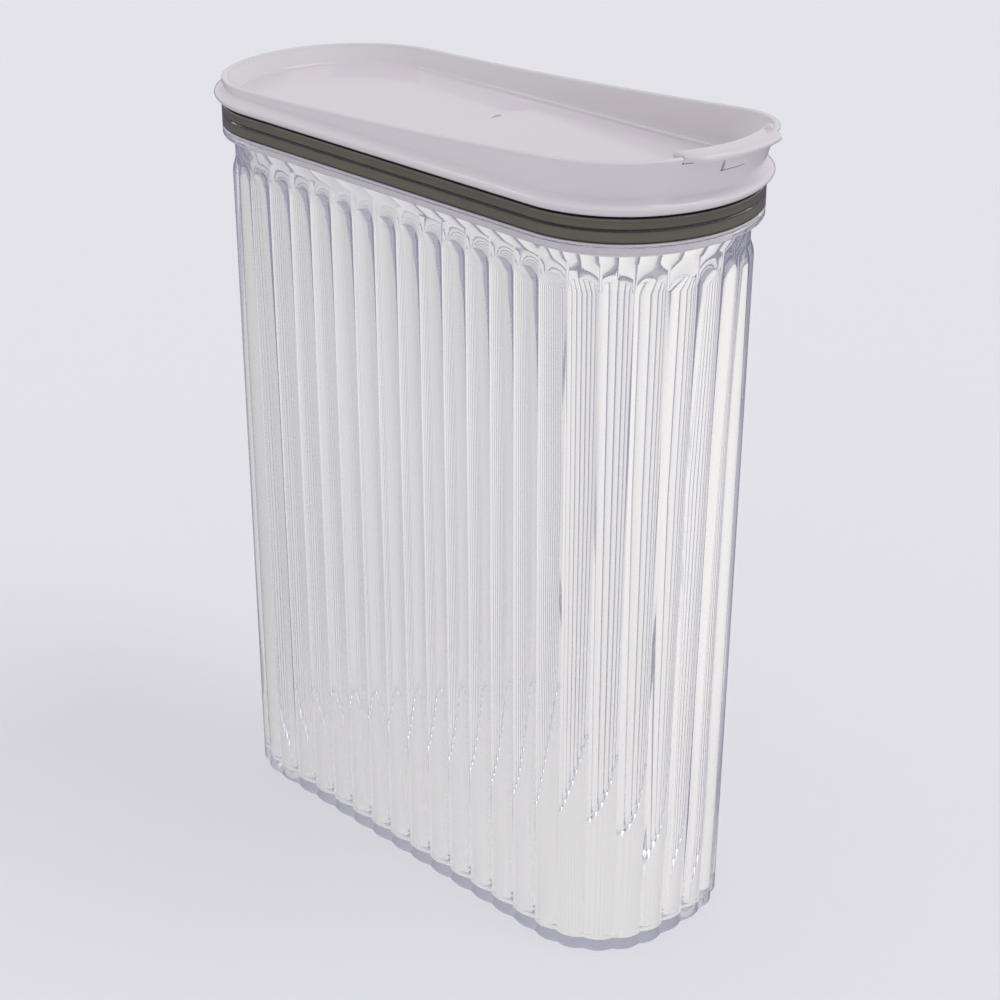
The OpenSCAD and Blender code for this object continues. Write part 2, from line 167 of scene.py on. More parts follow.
def feedBump(tree, shader, height, strength, depth=0.001):
    feed(tree, shader, "Normal", addNode(
        tree, "ShaderNodeBump", {}, Strength=strength, Distance=depth, Height=height))


# Pale satin plastic of the lid and the flap, with painted shade: a little darker where a face looks up, and
# mottled at random
satin = {
    # The darker second colour is painted shade for faces that look up
    "colour": (0.735, 0.695, 0.722), "topShade": (0.645, 0.592, 0.635), "ior": 1.48,
    "upGain": 1.6, "upFrom": 0.6, "mottleCloud": 0.25, "shadeFrom": 0.1,
    "cloudScale": 38.0, "speckScale": 900.0,
    "roughness": 0.10, "cloudRough": 0.06, "speckRough": 0.03, "grain": 0.012,
}


def satinPlastic(name):
    mat, tree, shader = newMaterial(name, satin["colour"], IOR=satin["ior"])
    spot = onSurface(tree)
    cloud = noise(tree, spot, satin["cloudScale"], 3.0)
    speck = noise(tree, spot, satin["speckScale"], 2.0)
    facing = addNode(tree, "ShaderNodeTexCoord", {}, out="Normal")
    up = addNode(tree, "ShaderNodeSeparateXYZ", {}, facing, out="Z") * satin["upGain"] - satin["upFrom"]
    # Painted shade: faces that look up are mixed towards the darker colour, with a random mottle on top
    topShadeAndMottle = (up.math("MAXIMUM", 0.0) + cloud * satin["mottleCloud"] - satin["shadeFrom"]).clamp()
    feed(tree, shader, "Base Color", blendColours(tree, topShadeAndMottle, (*satin["colour"], 1), (*satin["topShade"], 1)))
    feed(tree, shader, "Roughness",
         satin["roughness"] + satin["cloudRough"] * cloud + satin["speckRough"] * speck)
    feedBump(tree, shader, speck, satin["grain"])
    return mat


# Clear plastic of the jar
clear = {
    "colour": (0.99, 0.99, 0.995), "ior": 1.52,
    "roughness": 0.004, "cloudRough": 0.008, "cloudScale": 22.0, "ripple": 0.004, "rippleScale": 60.0,
    "body": (0.66, 0.66, 0.72), "depth": 8,  # tint in the thickness of the wall
    "pane": (0.972, 0.972, 0.972),  # tint of lamp and bounced light that passes straight through
    "far": (0.84, 0.84, 0.87), "bounces": 7,  # tint of light that has run on past this many bounces
}


def clearPlastic():
    mat, tree, shader = newMaterial("clearPlastic", clear["colour"], IOR=clear["ior"], Transmission_Weight=1.0)
    spot = onSurface(tree)
    cloud = noise(tree, spot, clear["cloudScale"], 2.0)
    feed(tree, shader, "Roughness", clear["roughness"] + clear["cloudRough"] * cloud)
    feedBump(tree, shader, noise(tree, spot, clear["rippleScale"], 1.0), clear["ripple"])
    letLightThrough(tree, shader)
    body = addNode(
        tree, "ShaderNodeVolumeAbsorption", {}, Color=(*clear["body"], 1), Density=clear["depth"])
    tree.links.new(body.socket, tree.nodes["Material Output"].inputs["Volume"])
    return mat


# Lamps and bounced light pass through the clear wall, so the inside isn't dark, and light that has run
# a long way inside the wall comes out of it
def letLightThrough(tree, shader):
    soft = (rayIs(tree, "Is Shadow Ray") + rayIs(tree, "Is Diffuse Ray")).math("MINIMUM", 1.0)
    deep = rayIs(tree, "Ray Depth").math("GREATER_THAN", clear["bounces"] + 0.5)
    surface = Sock(tree, shader.outputs[0])
    for share, colour in ((deep, clear["far"]), (soft, clear["pane"])):
        through = addNode(tree, "ShaderNodeBsdfTransparent", {}, Color=(*colour, 1))
        surface = blendShaders(tree, share, surface, through)
    tree.links.new(surface.socket, tree.nodes["Material Output"].inputs["Surface"])


# Dark silicone of the lid gasket, with painted black shade in its grooves and in the gap under the lid, and grey
# silicone of the flap's seal
rubber = {
    "ior": 1.38, "cloudScale": 70.0, "speckScale": 1500.0, "cloudRough": 0.12,
    "grain": 0.08, "grainDepth": 0.0005, "grooveShade": (0.001, 0.001, 0.002), "fade": 1.6,
}
gasketLook = {
    "dark": (0.124, 0.111, 0.077), "pale": (0.167, 0.151, 0.112), "roughness": 0.5,
    "grooves": ((246.3, 0.55), (250.3, 0.42), (254.5, 0.7)),  # height and half width of each, mm
}
sealLook = {"dark": (0.20, 0.195, 0.19), "pale": (0.26, 0.255, 0.25), "roughness": 0.45, "grooves": ()}


def silicone(name, look):
    mat, tree, shader = newMaterial(name, look["dark"], IOR=rubber["ior"])
    spot = onSurface(tree)
    cloud = noise(tree, spot, rubber["cloudScale"], 4.0)
    colour = blendColours(tree, cloud, (*look["dark"], 1), (*look["pale"], 1))
    # Painted shade: each groove, and the gap under the lid, is painted black
    for height, half in look["grooves"]:
        z = addNode(tree, "ShaderNodeSeparateXYZ", {}, spot, out="Z")
        line = rubber["fade"] - (z - height * mm).math("ABSOLUTE") / (half * mm)
        colour = blendColours(tree, line.clamp(), colour, (*rubber["grooveShade"], 1))
    feed(tree, shader, "Base Color", colour)
    feed(tree, shader, "Roughness", look["roughness"] + rubber["cloudRough"] * cloud)
    feedBump(tree, shader, noise(tree, spot, rubber["speckScale"], 1.0), rubber["grain"], rubber["grainDepth"])
    return mat


# Drawn wire of the hinge pin, its fine lines round the wire
wire = {"colour": (0.56, 0.57, 0.59), "stretch": (3000, 60, 3000), "roughness": 0.22, "lineRough": 0.18}


def wireSteel():
    mat, tree, shader = newMaterial("wireSteel", wire["colour"], Metallic=1.0)
    stretched = addNode(tree, "ShaderNodeMapping", {}, Vector=onSurface(tree), Scale=wire["stretch"])
    feed(tree, shader, "Roughness", wire["roughness"] + wire["lineRough"] * noise(tree, stretched, 1.0, 2.0))
    return mat


lidFinish = satinPlastic("lidPlastic")
flapFinish = satinPlastic("flapPlastic")
jarFinish = clearPlastic()
gasketFinish = silicone("gasketSilicone", gasketLook)
sealFinish = silicone("sealSilicone", sealLook)
pinFinish = wireSteel()
print("materials made")


# Outlines: a flat side, a corner arc and a shallow end arc in each quarter, all in mm
class Outline:
    def __init__(self, halfLength, halfWidth, corner, bow):
        self.length, self.width, self.corner = halfLength, halfWidth, corner
        self.endR = (halfWidth ** 2 + bow ** 2) / (2 * bow)
        self.endX = halfLength - self.endR
        self.endAngle = math.asin((halfWidth - corner) / (self.endR - corner))
        self.cornerX = self.endX + (self.endR - corner) * math.cos(self.endAngle)

    # Arc lengths, at offset d, where the flat side, the corner and the quarter end
    def stops(self, d):
        a = self.cornerX + (self.corner + d) * (math.pi / 2 - self.endAngle)
        return self.cornerX, a, a + (self.endR + d) * self.endAngle

    def quarter(self, d):
        return self.stops(d)[2]

    def onQuarter(self, d, s, e):
        flat, turn, whole = self.stops(d)
        if s <= flat:
            return s, -self.width - e
        if s <= turn:
            a = (s - flat) / (self.corner + d) - math.pi / 2
            return (self.cornerX + (self.corner + e) * math.cos(a),
                    self.corner - self.width + (self.corner + e) * math.sin(a))
        a = (s - whole) / (self.endR + d)
        return self.endX + (self.endR + e) * math.cos(a), (self.endR + e) * math.sin(a)

    # The quarter that arc length s falls in, and the length from the flat side's middle within it
    def split(self, d, s):
        whole = self.quarter(d)
        n = math.floor(s / whole + 1e-9)
        f = s - n * whole
        return n % 4, (f if n % 2 == 0 else whole - f)

    # Point at arc length s (measured at offset d) set out by e; s starts on the near side's middle
    def at(self, d, s, e):
        q, f = self.split(d, s)
        return inQuarter(q, *self.onQuarter(d, f, e))

    # Point on the end arc at angle a (degrees), set out by e
    def onEnd(self, a, e):
        a = math.radians(a)
        return self.endX + (self.endR + e) * math.cos(a), (self.endR + e) * math.sin(a)


def inQuarter(q, x, y):
    return Vector((x if q < 2 else -x, y if q in (0, 3) else -y))


def metres(x, y, z):
    return Vector((x, y, z)) * mm


def capEnds(mesh, grid, turned):
    mesh.faces.new(grid[0] if turned else list(reversed(grid[0])))
    mesh.faces.new(list(reversed(grid[-1])) if turned else grid[-1])


# A closed mesh through rows of points; the end rows are joined to each other or capped. The flap's carving
# depends on the order of the faces, so the caps may come first
def rowMesh(rows, turned=False, loop=False, capsFirst=False):
    mesh = bmesh.new()
    grid = [[mesh.verts.new(p) for p in row] for row in rows]
    n = len(grid[0])
    if capsFirst:
        capEnds(mesh, grid, turned)
    for a, b in list(zip(grid, grid[1:])) + ([(grid[-1], grid[0])] if loop else []):
        for i in range(n):
            j = (i + 1) % n
            mesh.faces.new((a[i], b[i], b[j], a[j]) if turned else (a[i], a[j], b[j], b[i]))
    if not (loop or capsFirst):
        capEnds(mesh, grid, turned)
    bmesh.ops.recalc_face_normals(mesh, faces=mesh.faces)
    return mesh


def objectOf(mesh, name):
    data = bpy.data.meshes.new(name)
    mesh.to_mesh(data)
    mesh.free()
    thing = bpy.data.objects.new(name, data)
    bpy.context.scene.collection.objects.link(thing)
    return thing


# Shades a piece smooth but for edges sharper than the angle, and gives it its finish and its body
def finishPiece(piece, finish, body, replaced=(), sharp=32):
    data = piece.data
    data.polygons.foreach_set("use_smooth", [True] * len(data.polygons))
    data.set_sharp_from_angle(angle=math.radians(sharp))
    data.materials.clear()
    data.materials.append(finish)
    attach(piece, body)
    if replaced:
        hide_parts(*replaced)


collar = Outline(halfLength=104, halfWidth=42.2, corner=37, bow=26)
base = Outline(halfLength=97.3, halfWidth=37.5, corner=29, bow=2.5)


# The jar: reeds that stand proud of a smooth neck, each ending in an arch, under a plain collar band
jar = {
    "height": 254.2, "collarLow": 243.6, "step": 2.6, "wall": 3.4, "collarWall": 2.4,
    "floor": 2.4, "cove": 4.0, "neckHeight": 8.4, "neckRow": 0.45, "neckFillet": 1.0,
    "collarRound": 0.7, "topRound": 0.6, "roundRows": 4,
    "reeds": 48, "reedDepth": 1.2, "reedStart": 3.15, "reedSteps": 14, "flatMargin": 1,
    "archRise": 4.6, "archFoot": 0.06, "archRows": 8, "sideRows": 6, "insideRows": 3, "coveRows": 6,
    "footRound": ((0, 0.6, 0.8), (0.25, 0.33, 0.85), (0.36, 0.078, 0.95), (0.6, 0, 1)),  # up, in, reed's share
    "brimRound": ((0, 0.35), (0.2, 0.1), (0.6, 0)),  # down, out
    "ledge": 245.2, "ledgeUp": 0.3, "ledgeIn": 0.4, "ledgeRound": ((0, 0.7), (0.2, 0.2), (0.7, 0)),
    "sharp": 28,
}


def makeJar():
    crest = -jar["step"]
    neck = crest - jar["reedDepth"]
    inside = crest - jar["wall"]
    quarterTop, quarterBase = collar.quarter(crest), base.quarter(0)
    side = min(collar.cornerX, base.cornerX) - jar["flatMargin"]  # both outlines are straight up to here
    pitch = 4 * quarterTop / jar["reeds"]
    count = jar["reeds"] * jar["reedSteps"]
    archLow = jar["collarLow"] - jar["neckHeight"] - jar["archRise"]

    def bulge(i):
        return 1 - (2 * (i % jar["reedSteps"]) / jar["reedSteps"] - 1) ** 2

    def point(i, z, e):
        s = jar["reedStart"] + pitch * i / jar["reedSteps"]
        q, f = collar.split(crest, s)
        fb = f if f <= side else side + (f - side) * (quarterBase - side) / (quarterTop - side)
        low = inQuarter(q, *base.onQuarter(0, fb, e - crest))
        k = min(max(z, 0) / jar["collarLow"], 1)
        p = low * (1 - k) + collar.at(crest, s, e) * k
        return metres(p.x, p.y, z)

    def reeded(z, e, full):
        return [point(i, z, e - jar["reedDepth"] * full * (1 - bulge(i))) for i in range(count)]

    def plain(z, e):
        return [point(i, z, e) for i in range(count)]

    def arch(k):
        foot = jar["archFoot"]
        return [point(i, archLow + jar["archRise"] * k * (foot + (1 - foot) * math.sqrt(bulge(i))),
                      neck + jar["reedDepth"] * bulge(i) * (1 - k * k)) for i in range(count)]

    foot, top, low = jar["footRound"][-1][0], jar["height"], jar["collarLow"]
    rows = [reeded(z, crest - drawnIn, full) for z, drawnIn, full in jar["footRound"]]
    rows += [reeded(foot + (archLow - foot) * k / jar["sideRows"], crest, 1) for k in range(1, jar["sideRows"])]
    rows += [arch(k / jar["archRows"]) for k in range(jar["archRows"] + 1)]
    rows += [plain(low - jar["neckHeight"] * jar["neckRow"], neck)]
    turns = [math.radians(90 * k / jar["roundRows"]) for k in range(jar["roundRows"] + 1)]
    r = jar["neckFillet"]
    rows += [plain(low - r + r * math.sin(a), neck + r * (1 - math.cos(a))) for a in turns]
    r = jar["collarRound"]
    rows += [plain(low + r - r * math.cos(a), r * math.sin(a) - r) for a in turns]
    r = jar["topRound"]
    rows += [plain(top - r + r * math.sin(a), r * math.cos(a) - r) for a in turns]
    wall, ledge = -jar["collarWall"], jar["ledge"]
    rows += [plain(top - down, wall + out) for down, out in jar["brimRound"]]
    rows += [plain(ledge + jar["ledgeUp"], wall), plain(ledge, wall - jar["ledgeIn"])]
    rows += [plain(ledge - down, inside + out) for down, out in jar["ledgeRound"]]
    cove, coveTop = jar["cove"], jar["floor"] + jar["cove"]
    insideTop = ledge - jar["ledgeRound"][-1][0]
    rows += [plain(coveTop + (insideTop - coveTop) * k / jar["insideRows"], inside)
             for k in reversed(range(jar["insideRows"]))]
    for k in range(1, jar["coveRows"] + 1):
        a = math.radians(90 * k / jar["coveRows"])
        rows.append(plain(jar["floor"] + cove * (1 - math.sin(a)), inside - cove * (1 - math.cos(a))))
    piece = objectOf(rowMesh(rows), "jar")
    finishPiece(piece, jarFinish, "jar", ("container_body",), jar["sharp"])


makeJar()
print("jar made")


# The lid: a bead, a waist, and a wall that flares up to a sweeping rim round a sunken tray
lid = {
    "flange": 255.0, "flangeOut": 0.05, "floor": 256.2, "floorThick": 1.8, "floorLap": 1, "plateLap": 0.6,
    "plugOut": -4.9, "plugIn": -6.8, "plugLow": 246.3, "plugRound": 0.3,
    "bead": 2.3, "beadEdge": (  # in from the bead's edge and up from the flange
        (2.0, 0.1), (1.55, 0.36), (1.0, 0.8), (0.5, 1.3), (0.16, 1.8), (0, 2.3), (0.06, 2.75), (0.3, 3.15),
        (0.7, 3.55), (1.25, 3.95), (1.95, 4.3), (2.6, 4.62)),
    "waist": 259.9, "waistIn": 0.6, "lean": 0.14, "flare": 0.018,  # the wall leans out round the ends
    "sideLean": 0.15, "sideTo": 66, "sideBlend": 32, "wallRows": 8,  # and in along the sides
    "low": 7.4, "high": 17.5, "sweep": 1.8, "rim": 1.8, "rimDown": 0.9, "rimInDown": 0.8,
    "rimOut": ((-0.05, 0.55), (0.08, 0.25), (0.35, 0.05), (0.7, 0)),  # in from the outside, down from the top
    "rimIn": ((0.7, 0), (0.35, 0.08), (0.1, 0.32)),  # out from the inside, down from the top
    "foot": -4.35, "footUp": 1.2, "footRows": 5,
    "footRound": ((0.18, 0.8), (0.4, 0.5), (0.65, 0.24), (0.95, 0.08), (1.35, 0)),  # in, up from the floor
    "notch": 270.1, "notchX": (80, 120), "notchSide": 0.3, "notchTall": 12,
    "slot": (-4.6, 9), "slotSteps": 14, "cut": (250, 262), "sharp": 34,
    "steps": (12, 26, 18),  # along a flat side, a corner and half an end
}
pour = {"x0": 30, "x1": 84, "y": 17, "corner": 12}
flap = {
    "width": 48, "thick": 1.4, "gap": 0.3, "wallGap": 0.38, "start": -0.5, "edge": -6.0, "edgeLap": 0.4,
    "root": 6, "heel": ((0, 0), (0.5, 0.1), (0.75, 0.25), (0.95, 0.45)),  # out from the edge, up from the plate
    "foot": 1.4, "footDown": 0.3, "footIn": 0.08, "upstand": 1.5, "upstandHeights": (266.0, 262.0),
    "bend": 2.6, "bendUp": 0.6, "bendIn": 0.12,
    "bendRound": ((-0.25, 0.5), (-0.55, 0.22), (-0.95, 0.06), (-1.4, 0)),
    "tip": 3.0, "tipDown": 0.4, "tipIn": 0.2, "tipRound": ((0.3, 0.5), (0, 1.3)), "turn": 40, "turnSteps": 84,
    "trimX": (40, 120), "trimSide": 0.15, "trimCorner": 2, "trimDown": 1, "trimUp": 9,
    "lipWidth": 39, "lipCorner": 10, "reach": 7.2, "lipZ": 270.4, "lipThick": 3.0, "lipIn": 1.88, "lipSteps": 36,
    "lipRound": (  # up, in at the outer edge, in at the inner edge
        (0, 2.2, 0.9), (0.18, 1.5, 0.45), (0.45, 0.85, 0.2), (0.8, 0.4, 0.05), (1.25, 0.1, 0), (1.65, 0, 0),
        (2.1, 0.08, 0.05), (2.45, 0.3, 0.2), (2.75, 0.7, 0.5), (2.93, 1.2, 0.9), (3.0, 1.8, 1.3)),
    "catchWidth": 9.6, "catchReach": 1.9, "catchLow": 266.2, "catchGap": 0.5, "catchRoot": 1.1,
    "catchRound": ((0.5, 0), (0.12, 0.14), (0, 0.5)), "catchSink": 0.5, "catchSteps": 12,
    "ribInset": 1.8, "ribThick": 1.2, "ribLow": 251.8, "ribLap": 0.01, "ribLip": 0.75, "ribLipThick": 0.7,
    "knuckle": 4.4, "web": 4.5, "webDown": 0.2, "bore": 60, "soften": 0.28, "softenAngle": 40, "sharp": 36,
}
pip = {"radius": 1.2, "height": 1.4, "out": 2.2, "side": 2.1, "sink": 0.6, "steps": 28,
       "round": ((0.55, 0.03), (0.85, 0.2), (1, 0.55))}  # share of the radius, down from the top
hinge = {"x": -3, "z": 255.4, "pin": 2.1, "pocketBack": 3.1, "pocketFront": 4.1, "low": 251.1, "wall": 1.6,
         "length": 44.2, "bore": 44, "sunk": 0.9, "knuckleY": 15, "knuckle": 7, "clear": 0.3}


def rimHeight(x):
    t = max(0.0, (x + collar.length) / (2 * collar.length))
    return lid["flange"] + lid["low"] + (lid["high"] - lid["low"]) * t ** lid["sweep"]


# How far out the wall's outside stands at height z, above the place x along the lid
def flare(z, x):
    h = z - lid["waist"]
    t = min(max((abs(x) - lid["sideTo"]) / lid["sideBlend"], 0), 1)
    side = 1 - t * t * (3 - 2 * t)
    out = lid["lean"] * h + lid["flare"] * h ** 2
    return -lid["waistIn"] + out * (1 - side) - lid["sideLean"] * h * side


# Stations round the lid, closer together on the arcs
def stations():
    sideSteps, cornerSteps, endSteps = lid["steps"]
    flat, turn, whole = collar.stops(0)
    out = [flat * k / sideSteps for k in range(sideSteps)]
    out += [flat + (turn - flat) * k / cornerSteps for k in range(cornerSteps)]
    out += [turn + (whole - turn) * k / endSteps for k in range(endSteps)]
    full = []
    for q in range(4):
        part = out if q % 2 == 0 else [whole - s for s in reversed(out[1:] + [whole])]
        full += [q * whole + s for s in part]
    return full


# A section, which may change with the place x along the lid, swept round the collar's outline
def sweepMesh(section):
    rows = [[metres(*collar.at(0, s, e), z) for e, z in section(collar.at(0, s, 0).x)] for s in stations()]
    return rowMesh(rows, turned=True, loop=True)


def lidSection(x):
    flange, floor, z = lid["flange"], lid["floor"], rimHeight(x)
    plugOut, plugIn, plugLow, ease = lid["plugOut"], lid["plugIn"], lid["plugLow"], lid["plugRound"]
    wallTop = z - lid["rimDown"]
    top = flare(wallTop, x)
    inner = top - lid["rim"]
    points = [(plugOut, plugLow + ease), (plugOut, flange - ease), (plugOut + ease, flange)]
    points += [(lid["flangeOut"], flange)] + [(lid["bead"] - i, flange + up) for i, up in lid["beadEdge"]]
    rise = (wallTop - lid["waist"]) / lid["wallRows"]
    points += [(flare(lid["waist"] + rise * k, x), lid["waist"] + rise * k) for k in range(lid["wallRows"] + 1)]
    points += [(top - i, z - down) for i, down in lid["rimOut"]]
    points += [(inner + out, z - down) for out, down in lid["rimIn"]]
    foot, footZ, n = lid["foot"], floor + lid["footUp"], lid["footRows"]
    points += [(foot + (inner - foot) * k / n, footZ + (z - lid["rimInDown"] - footZ) * k / n)
               for k in reversed(range(n + 1))]
    points += [(foot - i, floor + up) for i, up in lid["footRound"]]
    under = floor - lid["floorThick"]
    points += [(plugIn - lid["floorLap"], floor), (plugIn - lid["floorLap"], under), (plugIn, under)]
    return points + [(plugIn, plugLow + ease), (plugIn + ease, plugLow), (plugOut - ease, plugLow)]


# Inside of the tray wall at the ends of the lip
def wallIn(z):
    x = collar.endX + math.sqrt(collar.endR ** 2 - (flap["lipWidth"] / 2) ** 2)
    top = rimHeight(x) - lid["rimDown"]
    foot, footZ = lid["foot"], lid["floor"] + lid["footUp"]
    return foot + (flare(top, collar.length) - lid["rim"] - foot) * (z - footZ) / (top - footZ)


def boxMesh(low, high):
    mesh = bmesh.new()
    bmesh.ops.create_cube(mesh, size=1)
    for v in mesh.verts:
        v.co = metres(*(a + (t + 0.5) * (b - a) for a, b, t in zip(low, high, v.co)))
    return mesh


def plateMesh(loop, z0, z1):
    return rowMesh([[metres(x, y, z) for x, y in loop] for z in (z0, z1)], capsFirst=True)


def roundedLoop(x0, x1, y, r, n=14):
    loop = []
    for cx, cy, start in ((x1 - r, y - r, 0), (x0 + r, y - r, 90), (x0 + r, r - y, 180), (x1 - r, r - y, 270)):
        turns = [math.radians(start + 90 * k / n) for k in range(n + 1)]
        loop += [(cx + r * math.cos(a), cy + r * math.sin(a)) for a in turns]
    return loop


def pourLoop(e):
    return roundedLoop(pour["x0"] + e, pour["x1"] - e, pour["y"] - e, pour["corner"] - e)


def trayLoop(e, x0=-math.inf):
    flat = [tuple(collar.at(0, s, e)) for s in stations()]
    return [p for p in flat if p[0] > x0]


# A closed section swept about the end arc's centre, as far to one side as to the other
def endSweep(section, a, steps):
    rows = []
    for k in range(steps + 1):
        turn = 2 * a * k / steps - a
        rows.append([metres(*collar.onEnd(turn, e), z) for e, z in section])
    return rowMesh(rows, turned=True)


def rod(x, z, r, y0, y1, n=40):
    turns = [2 * math.pi * k / n for k in range(n)]
    start = [metres(x + r * math.cos(a), y0, z + r * math.sin(a)) for a in turns]
    along = Vector((0, (y1 - y0) * mm, 0))
    return rowMesh([start, [p + along for p in start]], turned=True, capsFirst=True)


# Adds and cuts closed meshes with Boolean modifiers, then bakes the result
def carve(first, steps, name):
    target = objectOf(first, name)
    tools = []
    for operation, mesh in steps:
        tool = objectOf(mesh, "tool")
        mod = target.modifiers.new("carve", "BOOLEAN")
        mod.operation, mod.solver, mod.object = operation, "EXACT", tool
        tools.append(tool)
    bakeModifiers(target)
    for tool in tools:
        data = tool.data
        bpy.data.objects.remove(tool)
        bpy.data.meshes.remove(data)
    return target


def bakeModifiers(target):
    bpy.context.view_layer.update()
    done = bpy.data.meshes.new_from_object(target.evaluated_get(bpy.context.evaluated_depsgraph_get()))
    old = target.data
    target.modifiers.clear()
    target.data = done
    bpy.data.meshes.remove(old)


def softenEdges(target, width, angle):
    mod = target.modifiers.new("soften", "BEVEL")
    mod.width, mod.segments = width * mm, 2
    mod.limit_method, mod.angle_limit = "ANGLE", math.radians(angle)
    bakeModifiers(target)


def makeLid():
    x, z, length, wall = hinge["x"], hinge["z"], hinge["length"], hinge["wall"]
    back, front = x - hinge["pocketBack"], x + hinge["pocketFront"]
    cutLow, cutTop = lid["cut"]
    floor = plateMesh(trayLoop(lid["plugIn"] - lid["plateLap"]), lid["floor"] - lid["floorThick"], lid["floor"])
    boss = boxMesh((back - wall, -length / 2, hinge["low"]),
                   (front + wall, length / 2, lid["floor"] - hinge["sunk"]))
    steps = [("UNION", floor), ("UNION", boss), ("DIFFERENCE", plateMesh(pourLoop(0), cutLow, cutTop))]
    half = hinge["knuckle"] / 2 + hinge["clear"]
    for y in (-hinge["knuckleY"], hinge["knuckleY"]):
        pocket = boxMesh((back, y - half, hinge["low"] + wall), (front, y + half, cutTop))
        steps.append(("DIFFERENCE", pocket))
    steps.append(("DIFFERENCE", rod(x, z, hinge["pin"] / 2, -hinge["bore"] / 2, hinge["bore"] / 2)))
    notch, half = lid["notch"], flap["lipWidth"] / 2 + lid["notchSide"]
    x0, x1 = lid["notchX"]
    steps.append(("DIFFERENCE", boxMesh((x0, -half, notch), (x1, half, notch + lid["notchTall"]))))
    a = math.degrees((flap["catchWidth"] / 2 + flap["catchGap"]) / collar.endR)
    low, top = flap["catchLow"] - flap["catchGap"], notch + 1
    inner, outer = lid["slot"]
    slot = [(inner, low), (outer, low), (outer, top), (inner, top)]
    steps.append(("DIFFERENCE", endSweep(slot, a, lid["slotSteps"])))
    piece = carve(sweepMesh(lidSection), steps, "lid")
    finishPiece(piece, lidFinish, "lid", ("lid_body",), lid["sharp"])


makeLid()
print("lid made")


# The dark gasket, pressed to the collar's wall, and its ring, both seen through the collar
gasket = {
    "top": 254.15, "low": 246.3, "root": -2.95, "rib": 0.62, "ribs": 2, "ribRows": 14, "grooveNarrow": 0.05,
    "lipLow": 254.22, "lipTop": 254.98, "lipReach": -0.2, "sharp": 50,
}
ring = {"rim": -2.9, "rimThick": 0.8, "rimIn": 0.25, "rimUp": 0.2,
        "wall": 1.4, "up": 3.6, "down": 4.5, "ease": 0.3}


def gasketSection(x):
    root, low, height = gasket["root"], gasket["low"], gasket["top"] - gasket["low"]
    points = [(lid["plugOut"], low)]
    rows = gasket["ribRows"] * gasket["ribs"]
    for k in range(rows + 1):
        turn = abs(math.sin(math.pi * k * gasket["ribs"] / rows))
        points.append((root + gasket["rib"] * turn ** gasket["grooveNarrow"], low + height * k / rows))
    lipLow, lipTop, reach = gasket["lipLow"], gasket["lipTop"], gasket["lipReach"]
    return points + [(root, lipLow), (reach, lipLow), (reach, lipTop), (lid["plugOut"], lipTop)]


def ringSection(x):
    plug, rim, ease, top = lid["plugIn"], ring["rim"], ring["ease"], gasket["low"]
    low = top - ring["rimThick"]
    inner, foot = plug - ring["wall"], low - ring["down"]
    return [(plug, low), (rim - ring["rimIn"], low), (rim, low + ring["rimUp"]), (rim, top - ring["rimUp"]),
            (rim - ring["rimIn"], top), (plug, top), (plug, top + ring["up"]), (inner, top + ring["up"]),
            (inner, foot + ease), (inner + ease, foot), (plug - ease, foot), (plug, foot + ease)]


finishPiece(objectOf(sweepMesh(gasketSection), "gasket"), gasketFinish, "lid",
            ("lid_gasket",), gasket["sharp"])
finishPiece(objectOf(sweepMesh(ringSection), "retainingRing"), lidFinish, "lid",
            ("gasket_retainer",))
print("gasket made")


# The flap: a plate in the tray whose end climbs the wall and turns out into a lip
def flapSection():
    z0 = lid["floor"] + flap["gap"]
    z1 = z0 + flap["thick"]
    edge, lip, gap, up = flap["edge"], flap["lipZ"], flap["wallGap"], flap["upstand"]
    top, footZ, bendZ = lip + flap["lipThick"], lid["floor"] + flap["foot"], lid["floor"] + flap["bend"]
    under = [(edge - flap["root"], z0)] + [(edge + out, z0 + rise) for out, rise in flap["heel"]]
    under += [(wallIn(footZ) - gap - flap["footIn"], footZ - flap["footDown"]), (wallIn(footZ) - gap, footZ),
              (wallIn(lip) - gap, lip)]
    tipTop = top - flap["tipDown"]
    outer = [(flap["tip"], lip), (flap["tip"], tipTop), (wallIn(lip) - flap["tipIn"], tipTop)]
    inner = [(wallIn(lip) - gap - up + out, top - down) for out, down in flap["tipRound"]]
    inner += [(wallIn(h) - gap - up, h) for h in (lid["notch"], *flap["upstandHeights"], bendZ + flap["bendUp"])]
    inner += [(wallIn(bendZ) - gap - up - flap["bendIn"], bendZ)]
    inner += [(edge + out, z1 + rise) for out, rise in flap["bendRound"]]
    return under + outer + inner + [(edge - flap["root"], z1)]


# Outline of the lip, drawn in by e at its outer edge and by inner at its inner edge
def lipLoop(e, inner):
    n = flap["lipSteps"]
    outerR = collar.endR + flap["reach"] - e
    innerR = collar.endR + wallIn(flap["lipZ"]) - flap["lipIn"] + inner
    half, r = flap["lipWidth"] / 2 - e, flap["lipCorner"] - e
    cx, cy = collar.length + flap["reach"] - e - r, half - r
    ys = [half * math.sin(math.pi / 2 * (2 * k / n - 1)) for k in range(n + 1)]

    def far(y):
        x = collar.endX + math.sqrt(outerR ** 2 - y ** 2)
        return min(x, cx + math.sqrt(max(0, r ** 2 - (abs(y) - cy) ** 2))) if abs(y) > cy else x

    return [(far(y), y) for y in ys] + [(collar.endX + math.sqrt(innerR ** 2 - y ** 2), y) for y in reversed(ys)]


def lipMesh():
    return rowMesh([[metres(x, y, flap["lipZ"] + up) for x, y in lipLoop(e, inner)]
                    for up, e, inner in flap["lipRound"]])


# The climbing end of the flap, trimmed to the width of the lip
def flapEnd(z0):
    x0, x1 = flap["trimX"]
    plan = roundedLoop(x0, x1, flap["lipWidth"] / 2 - flap["trimSide"], flap["trimCorner"])
    trim = plateMesh(plan, z0 - flap["trimDown"], flap["lipZ"] + flap["trimUp"])
    end = carve(endSweep(flapSection(), flap["turn"], flap["turnSteps"]), [("INTERSECT", trim)], "flapEnd")
    mesh = bmesh.new()
    mesh.from_mesh(end.data)
    bpy.data.objects.remove(end)
    return mesh


